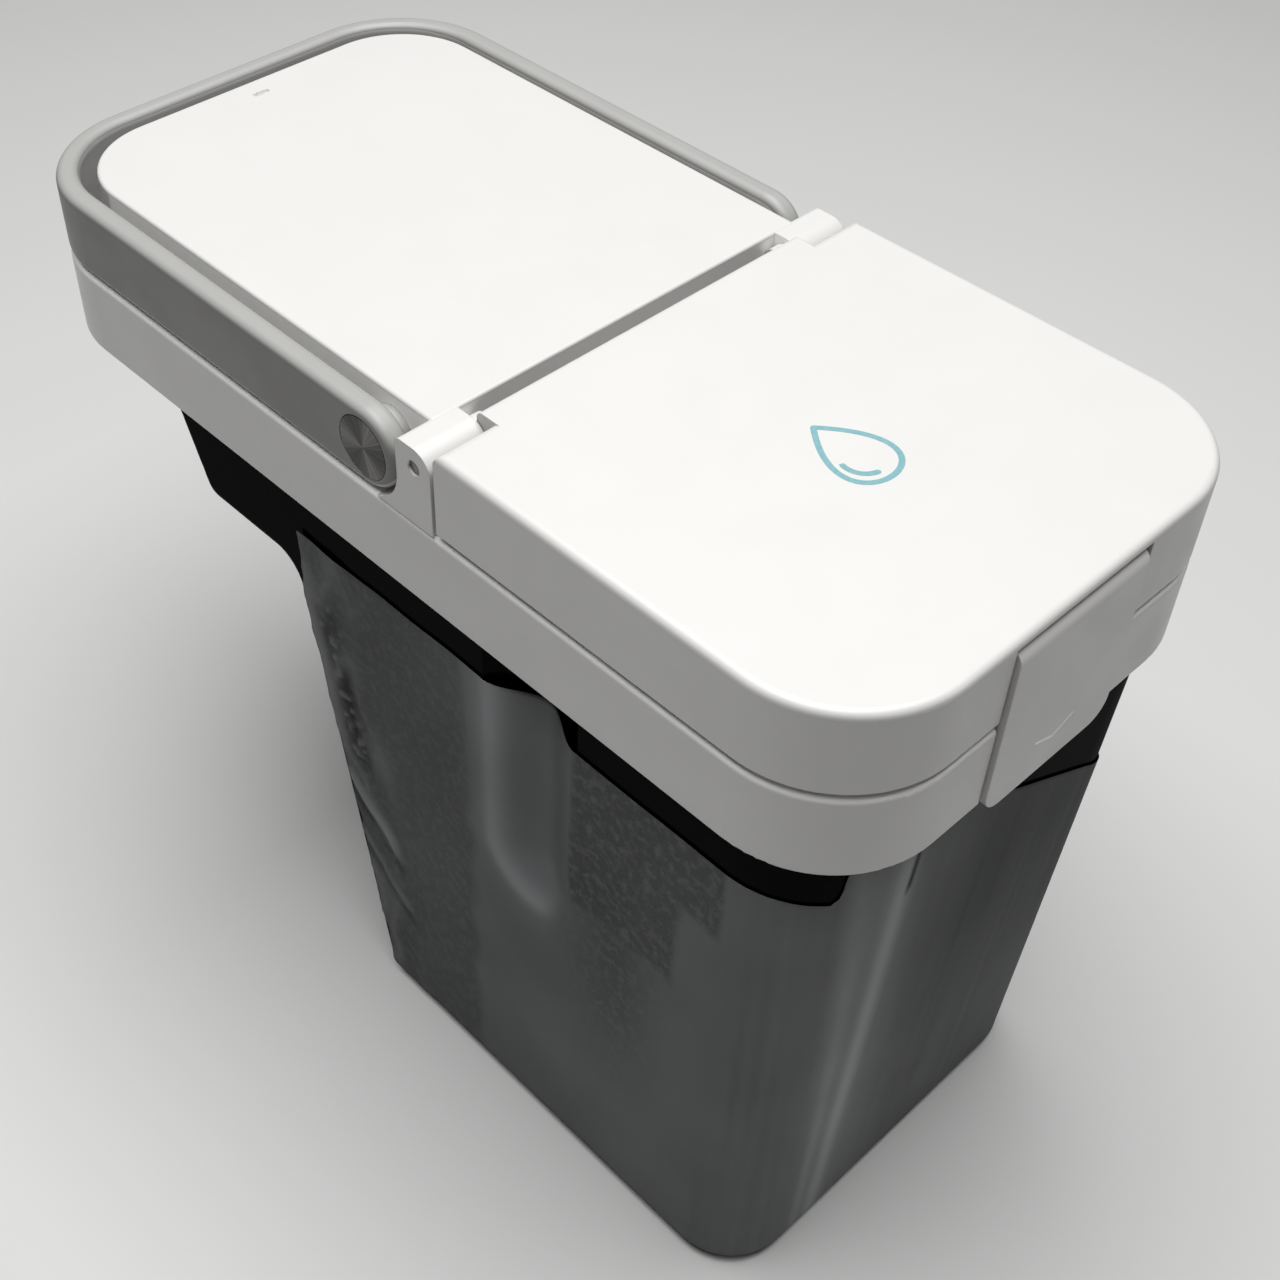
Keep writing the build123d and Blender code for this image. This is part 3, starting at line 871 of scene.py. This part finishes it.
@dataclass(frozen=True)
class FlankLook:
    """How the film looks on the left flank, with its lengths in millimetres."""

    BLISTERS = {"loose": Swell(8.0, 5.0), "z": Window(88, 102, 144, 160)}
    LIFTED = {"loose": Swell(0.5, 3.5), "z": Window(92, 108, 150, 168)}
    FOLDS = Window(-2, 1, 15, 20)
    GRAIN = Ramp(-33, -28)
    STRIP = Ramp(0.0, 1.0)

    haze_and_light: float = 0.32
    least_haze: float = 0.04
    patch_haze: float = -0.13
    # Haze zones, among them painted highlights and painted shade.
    haze_and_light_zones: tuple[Zone, ...] = (
        Zone(0.03, z=Ramp(60, 20)),  # the foot
        Zone(-0.12, y=Swell(-133, 5), z=Swell(139, 9)),  # a darker spot by the front corner
        Zone(0.24, y=Ramp(-66, -56), rim=Swell(-2, 4)),  # painted light on the bend into the scallop
        Zone(0.04, y=Ramp(-66, -56), rim=Swell(5, 6)),  # a painted halo of light round the bend
        Zone(0.06, y=Ramp(-70, -40), rim=Ramp(1, -1)),  # painted light on the rear half of the hollow
        Zone(-0.108, behind=GRAIN),
        Zone(-0.06, strip=STRIP),
        Zone(-0.16, **BLISTERS),
        Zone(0.16, **LIFTED),
        Zone(0.16, inward=FOLDS, slope=Swell(88, 4.5)),  # light on the upper fold
        Zone(-0.16, inward=FOLDS, slope=Swell(80, 3.2)),  # painted shade in the trough under the upper fold
        Zone(-0.16, inward=FOLDS, slope=Swell(57, 2.6)),  # painted shade in the trough under the lower fold
        Zone(0.12, inward=Swell(18, 5.5), z=Swell(102, 8)),  # a gleam beside the bubbles
    )
    patches: tuple[Zone, ...] = (
        Zone(1.0, ahead=Window(67, 69, 116, 119), up=Ramp(146, 150)),
        Zone(1.0, ahead=Window(67, 69, 103, 106), up=Ramp(112, 120)),
        Zone(0.8, slant=Swell(90, 15), z=Window(22, 110, 112, 122)),
    )
    mottles: tuple[Zone, ...] = (Zone(0.45, behind=GRAIN), Zone(0.5, strip=STRIP))
    creases: tuple[Zone, ...] = (
        Zone(1.0, bubble=Ramp(0.5, 0.15), **BLISTERS),
        Zone(0.7, **LIFTED),
        Zone(1.0, inward=FOLDS, slope=Swell(87, 3.4)),  # the upper fold, raised, with its crest painted lighter
        Zone(0.7, inward=FOLDS, slope=Swell(63, 2.6)),  # the lower fold, raised, with its crest painted lighter
        Zone(0.6, strip=STRIP, crumple=Crest()),
    )
    waver_size: float = 13.0
    waver_depth: float = 2.4
    strip_width: float = 18.0
    strip_flare: float = 0.1
    strip_held: float = 2.0
    patch_slant: float = 0.06
    fold_slope: float = 1.1
    fold_sway: float = 1.5
    bubble_size: float = 3.6
    crumple_size: float = 13.0
    crumple_sway: float = 1.6
    crumple_stretch: float = 0.55

    def place(self, y: float, z: float, inward: float, rim: float) -> dict[str, float]:
        """Work out the coordinates that the zones read, most of which waver a little.

        Args:
            y: Place along the tank.
            z: Height above the floor.
            inward: Distance from the torn rear edge.
            rim: Distance outside the scallop's rim.

        Returns:
            The coordinates by name.
        """
        waver = self.waver_depth * noise.noise(Vector((y / self.waver_size, z / self.waver_size, 4.0)))
        strip = self.strip_width + self.strip_flare * z
        return {
            "y": y, "z": z, "inward": inward, "rim": rim,
            "ahead": waver - y, "behind": y + waver, "up": z + waver, "loose": inward + waver,
            "slant": waver - y + self.patch_slant * z,
            "slope": z + self.fold_slope * inward + self.fold_sway * waver,
            "strip": (strip - inward) / (strip - self.strip_held),
            "bubble": noise.voronoi(Vector((y / self.bubble_size, z / self.bubble_size, 2.0)))[0][0],
            "crumple": crumple(y + self.crumple_sway * waver, self.crumple_stretch * z,
                               self.crumple_size, seed=3.0),
        }

    def shade(self, place: dict[str, float]) -> Look:
        """Tell how the film looks at a place.

        Args:
            place: Its coordinates.

        Returns:
            The haze with its painted light and shade, the mottle and the crease there.
        """
        patch = max(zone.at(place) for zone in self.patches)
        haze_and_light = self.haze_and_light + self.patch_haze * patch + sum(zone.at(place) for zone in self.haze_and_light_zones)
        mottle = max(patch, *(zone.at(place) for zone in self.mottles))
        return max(haze_and_light, self.least_haze), mottle, max(zone.at(place) for zone in self.creases)


@dataclass(frozen=True)
class FrontLook:
    """How the film looks round the front, by its height in millimetres and its turn in degrees."""

    haze_and_light: float = 0.32
    height: float = 187.0
    haze_and_light_zones: tuple[Zone, ...] = (
        Zone(0.04, turn=Ramp(0, 40)),  # painted light on the left corner
        Zone(-0.2, turn=Ramp(100, 190), z=Ramp(10, 140)),  # painted shade on the right half, above its foot
    )
    streaks: tuple[Streak, ...] = (
        Streak(0.22, turn=63, lean=20, width=7),
        Streak(0.42, turn=92, lean=8, width=7),
        Streak(0.24, turn=80, lean=24, width=14, flare=34),
    )
    ripple: Zone = Zone(0.04, turn=Ramp(2, 12))
    ripple_turn: float = 5.0
    ripple_height: float = 90.0
    slit: Zone = Zone(1.0, turn=Swell(97.5, 1.6), z=Ramp(160, 166))
    mottle: Zone = Zone(0.9, turn=Swell(68, 8), z=Ramp(140, 158))
    crease: Zone = Zone(0.25, turn=Swell(68, 8), z=Ramp(140, 158), crumple=Crest())
    crumple_size: float = 6.0

    def shade(self, turn: float, z: float) -> Look:
        """Tell how the film looks at a place.

        Args:
            turn: Turn from the left flank.
            z: Height above the floor.

        Returns:
            The haze with its painted light and shade, the mottle and the crease there.
        """
        place = {"turn": turn, "z": z, "crumple": crumple(turn, z, self.crumple_size, seed=1.0)}
        ripple = noise.noise(Vector((turn / self.ripple_turn, z / self.ripple_height, 2.0)))
        haze_and_light = self.haze_and_light + self.ripple.at(place) * ripple + sum(zone.at(place) for zone in self.haze_and_light_zones)
        haze_and_light += sum(streak.at(turn, 1 - z / self.height) for streak in self.streaks)
        return haze_and_light * (1 - self.slit.at(place)), self.mottle.at(place), self.crease.at(place)


@dataclass
class TankFilm:
    """The clear film on the left flank and the front, clinging unevenly and creased at its rear edge.

    A place on it is told by its run, which starts behind the left flank and follows the tank's outline
    forwards and round the front, and by its height.
    """

    # The haze layer also carries painted light and shade, and the crease layer also paints crests lighter.
    LAYERS = ("haze_and_light", "mottle", "crease")

    pitch: float = 1.7 * MM
    thick: float = 0.12 * MM
    lift: float = 0.45 * MM
    cling: float = 0.15 * MM
    smoothing: int = 5
    start_y: float = 45 * MM
    corner_x: float = 39.1 * MM
    corner_y: float = -117.1 * MM
    corner_run: float = 43.2 * MM
    reach: float = 0.12
    bottom: float = 4.5 * MM
    flank_top: float = 172 * MM
    front_top: float = 186.7 * MM
    flank_end_turn: float = 54.0
    patch_top: float = 169 * MM
    patch_slope: float = 0.6
    end_turn: float = 70.0
    rear_foot: float = 15 * MM
    rear_lean: float = 26 / 156
    rear_margin: float = 5.5 * MM
    rear_most: float = 34.5 * MM
    tear_depth: float = 0.9 * MM
    tear_size: float = 9 * MM
    nick_size: float = 3.5 * MM
    nick_share: float = 0.5
    top_waver: float = 0.7 * MM
    top_waver_size: float = 20 * MM
    crease_height: float = 1.2 * MM
    scallop_depth: float = 7 * MM
    scallop_y: float = -53.5 * MM
    scallop_z: float = 115 * MM
    scallop_radius: float = 16.5 * MM
    flank: FlankLook = FlankLook()
    front: FrontLook = FrontLook()

    def __post_init__(self) -> None:
        """Find the runs where the outline turns."""
        self.flank_run = self.start_y - self.corner_y
        self.front_run = self.flank_run + self.corner_run
        self.right_run = self.front_run + 2 * self.corner_x
        self.end_run = self.right_run + self.corner_run * self.end_turn / 90

    def outward(self, run: float) -> tuple[Vector, Vector]:
        """Find the outline's inner line and the way out of the tank.

        Args:
            run: Distance along the outline.

        Returns:
            A point inside the tank at height 0 and the outward direction.
        """
        if run < self.flank_run:
            return Vector((-self.corner_x, self.start_y - run, 0)), Vector((-1, 0, 0))
        if run < self.front_run:
            turn = (run - self.flank_run) / self.corner_run * math.pi / 2
            return Vector((-self.corner_x, self.corner_y, 0)), Vector((-math.cos(turn), -math.sin(turn), 0))
        if run < self.right_run:
            return Vector((run - self.front_run - self.corner_x, self.corner_y, 0)), Vector((0, -1, 0))
        turn = (run - self.right_run) / self.corner_run * math.pi / 2
        return Vector((self.corner_x, self.corner_y, 0)), Vector((math.sin(turn), -math.cos(turn), 0))

    def turn(self, run: float) -> float:
        """Give the turn from the left flank in degrees, which goes on at the same pace along the front."""
        return (run - self.flank_run) / self.corner_run * 90

    def rear_edge(self, height: float) -> float:
        """Find the film's torn rear edge.

        Args:
            height: Height above the floor.

        Returns:
            The edge's place along Y.
        """
        straight = min(self.rear_foot + self.rear_lean * height - self.rear_margin, self.rear_most)
        tear = noise.noise(Vector((height / self.tear_size, 0.3, 1.7)))
        nick = noise.noise(Vector((height / self.nick_size, 5.1, 0.2)))
        return straight + self.tear_depth * (tear + self.nick_share * nick)

    def top_edge(self, run: float) -> float:
        """Find the film's upper edge, which leaves bare bands under the collar.

        Args:
            run: Distance along the outline.

        Returns:
            The edge's height.
        """
        across = run - self.front_run - self.corner_x
        if self.turn(run) < self.flank_end_turn:
            waver = noise.noise(Vector((run / self.top_waver_size, 0.0, 0.0)))
            return self.flank_top + self.top_waver * waver
        if across < 0:
            return self.front_top
        return self.patch_top - self.patch_slope * across

    def past_rim(self, y: float, z: float) -> float:
        """Give the distance outside the scallop's rim, all in millimetres."""
        drop = min(z - self.scallop_z / MM, 0.0)
        return math.hypot(y - self.scallop_y / MM, drop) - self.scallop_radius / MM

    def span(self, run: float, height: float) -> float:
        """Tell how far the film stands off the scallop's hollow, which it spans in a soft curve.

        Args:
            run: Distance along the outline.
            height: Height above the floor.

        Returns:
            The distance between the hollow's surface and the film.
        """
        away = self.past_rim((self.start_y - run) / MM, height / MM) * MM + self.scallop_radius
        if away > self.scallop_radius:
            return 0.0
        arc = (self.scallop_radius ** 2 + self.scallop_depth ** 2) / (2 * self.scallop_depth)
        hollow = self.scallop_depth - arc + math.sqrt(arc ** 2 - away ** 2)
        return hollow - self.scallop_depth * (1 + math.cos(math.pi * away / self.scallop_radius)) / 2

    def shade(self, run: float, height: float) -> Look:
        """Tell how the film looks at a place.

        Args:
            run: Distance along the outline.
            height: Height above the floor.

        Returns:
            The haze with its painted light and shade, the mottle and the crease there.
        """
        y, z = (self.start_y - run) / MM, height / MM
        if run < self.flank_run:
            inward = self.rear_edge(height) / MM - y
            return self.flank.shade(self.flank.place(y, z, inward, self.past_rim(y, z)))
        return self.front.shade(self.turn(run), z)

    def wrapped(self, skin: BVHTree) -> bmesh.types.BMesh:
        """Wrap a grid round the tank.

        Args:
            skin: The tank's surface.

        Returns:
            The sheet, with its look stored at its vertices.
        """
        mesh = bmesh.new()
        columns = round(self.end_run / self.pitch)
        rows = round(self.front_top / self.pitch)
        bmesh.ops.create_grid(mesh, x_segments=columns, y_segments=rows, size=0.5)
        layers = [mesh.verts.layers.float.new(name) for name in self.LAYERS]
        for vert in mesh.verts:
            along, up = vert.co.x + 0.5, vert.co.y + 0.5
            first = self.start_y - self.rear_edge(self.bottom + up * (self.flank_top - self.bottom))
            run = first + along * (self.end_run - first)
            height = self.bottom + up * (self.top_edge(run) - self.bottom)
            inner, way = self.outward(run)
            inner.z = height
            hit = skin.ray_cast(inner + way * self.reach, -way)[0]
            vert.co = hit + way * (self.lift + self.span(run, height))
            for layer, value in zip(layers, self.shade(run, height)):
                vert[layer] = value
        return mesh

    def settle(self, mesh: bmesh.types.BMesh, skin: BVHTree) -> None:
        """Let the sheet span sharp edges, and raise it in the creases.

        Args:
            mesh: The wrapped sheet.
            skin: The tank's surface.
        """
        crease = mesh.verts.layers.float[self.LAYERS[-1]]
        loose = [vert for vert in mesh.verts if not vert.is_boundary]
        for _ in range(self.smoothing):
            bmesh.ops.smooth_vert(mesh, verts=loose, factor=0.5,
                                  use_axis_x=True, use_axis_y=True, use_axis_z=True)
        for vert in mesh.verts:
            place, normal = skin.find_nearest(vert.co)[:2]
            height = max((vert.co - place).dot(normal), self.cling)
            vert.co += normal * (height - (vert.co - place).dot(normal) + self.crease_height * vert[crease])

    def thickened(self, mesh: bmesh.types.BMesh) -> bmesh.types.BMesh:
        """Close the sheet to a thin solid with a crisp rim.

        Args:
            mesh: The settled sheet.

        Returns:
            The same bmesh.
        """
        bmesh.ops.recalc_face_normals(mesh, faces=mesh.faces)
        rim = [edge for edge in mesh.edges if edge.is_boundary]
        made = bmesh.ops.extrude_face_region(mesh, geom=mesh.faces[:], use_keep_orig=True)
        mesh.normal_update()
        for vert in made["geom"]:
            if isinstance(vert, bmesh.types.BMVert):
                vert.co += vert.normal * self.thick
        bmesh.ops.recalc_face_normals(mesh, faces=mesh.faces)
        for face in mesh.faces:
            face.smooth = True
        for edge in rim:
            for face in edge.link_faces:
                for side in face.edges:
                    side.smooth = side.calc_length() > 2 * self.thick and side not in rim
        return mesh

    def build(self, wardrobe: Wardrobe) -> None:
        """Make the film and dress it.

        Args:
            wardrobe: The finishes.
        """
        tank = wardrobe.nodes["tank_body"]
        solid = bmesh.new()
        solid.from_mesh(tank.data)
        solid.transform(tank.matrix_world)
        skin = BVHTree.FromBMesh(solid)
        solid.free()
        mesh = self.wrapped(skin)
        self.settle(mesh, skin)
        film = new_piece("tank_film", self.thickened(mesh), Body.TANK)
        wardrobe.put(film, ClearFilm("clear_film"))


@dataclass
class Tank:
    """The tank with its collar, its rear cover and the way of the water."""

    film: TankFilm = field(default_factory=TankFilm)

    def build(self, wardrobe: Wardrobe) -> None:
        """Dress the fixed nodes and lay the film on the tank.

        Args:
            wardrobe: The finishes.
        """
        wardrobe.dress(SMOKE_PLASTIC, "tank_body")
        wardrobe.dress(COVER_PLASTIC_PAINTED_LIGHT, "rear_cover")
        wardrobe.dress(COLLAR_PLASTIC_PAINTED_LIGHT, "rim_collar")
        wardrobe.dress(RUBBER, "rim_seal", "outlet_seal")
        wardrobe.dress(STEEL, "cover_screws")
        wardrobe.dress(PIPE_PLASTIC, "suction_tube", "tube_strainer", "outlet_elbow", "outlet_spigot")
        self.film.build(wardrobe)


@dataclass
class Lamp:
    """One soft rectangular studio light."""

    name: str
    place: Vector
    aim: Vector
    size: tuple[float, float]
    watts: float

    def build(self) -> None:
        """Hang the light and turn it to its aim."""
        data = bpy.data.lights.new(self.name, "AREA")
        data.shape = "RECTANGLE"
        data.size, data.size_y = self.size
        data.energy = self.watts
        lamp = bpy.data.objects.new(self.name, data)
        lamp.location = self.place
        lamp.rotation_euler = (self.aim - self.place).to_track_quat("-Z", "Y").to_euler()
        bpy.context.scene.collection.objects.link(lamp)


@dataclass
class Studio:
    """The pale floor, the soft lights and the camera of the photograph."""

    floor_half: float = 6.0
    aim: Vector = field(default_factory=lambda: Vector((0.0, 0.0, 0.15)))
    softbox_size: tuple[float, float] = (1.2, 1.2)
    strip_size: tuple[float, float] = (0.4, 0.8)
    eye: Vector = field(default_factory=lambda: Vector((-256.3, -264.8, 482.0)) * MM)
    turn_deg: tuple[float, float, float] = (45.505, -0.547, -43.302)
    lens: float = 50.47
    shift: tuple[float, float] = (0.054, -0.0155)
    sky: float = 0.05

    def build(self, wardrobe: Wardrobe) -> None:
        """Lay the floor, hang the lights and set the camera.

        Args:
            wardrobe: The finishes.
        """
        self.lay_floor(wardrobe)
        Lamp("top_softbox", Vector((-0.03, 0, 1.35)), self.aim, size=self.softbox_size, watts=26.5).build()
        Lamp("left_strip", Vector((-1.25, 0.55, 0.7)), self.aim, size=self.strip_size, watts=0.55).build()
        Lamp("front_strip", Vector((0.75, -1.25, 0.6)), self.aim, size=self.strip_size, watts=0.3).build()
        self.light_sky()
        self.set_camera()

    def lay_floor(self, wardrobe: Wardrobe) -> None:
        """Make the floor, which isn't part of the tank.

        Args:
            wardrobe: The finishes.
        """
        mesh = bmesh.new()
        bmesh.ops.create_grid(mesh, x_segments=1, y_segments=1, size=self.floor_half)
        data = bpy.data.meshes.new("studio_floor")
        mesh.to_mesh(data)
        mesh.free()
        floor = bpy.data.objects.new("studio_floor", data)
        bpy.context.scene.collection.objects.link(floor)
        wardrobe.put(floor, PaleFloor("pale_floor"))

    def light_sky(self) -> None:
        """Fill the room with an even pale light, and show tones as they are lit."""
        scene = bpy.context.scene
        world = bpy.data.worlds.new("studio_room")
        world.use_nodes = True
        back = world.node_tree.nodes["Background"]
        back.inputs["Color"].default_value = (1.0, 1.0, 1.0, 1.0)
        back.inputs["Strength"].default_value = self.sky
        scene.world = world
        scene.view_settings.view_transform = "Standard"

    def set_camera(self) -> None:
        """Put the camera where the photograph was taken from."""
        data = bpy.data.cameras.new("photo_camera")
        data.lens = self.lens
        data.shift_x, data.shift_y = self.shift
        camera = bpy.data.objects.new("photo_camera", data)
        camera.location = self.eye
        camera.rotation_euler = tuple(math.radians(angle) for angle in self.turn_deg)
        bpy.context.scene.collection.objects.link(camera)
        bpy.context.scene.camera = camera


def main() -> None:
    """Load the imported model, dress it and set the stage."""
    logging.basicConfig(level=logging.INFO, format="%(message)s")
    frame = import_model()
    wardrobe = Wardrobe(frame["nodes"])
    for part in (Tank(), Lid(), Latch(), Handle(), Studio()):
        part.build(wardrobe)
        LOG.info("%s is built", type(part).__name__)


if __name__ == "__main__":
    main()
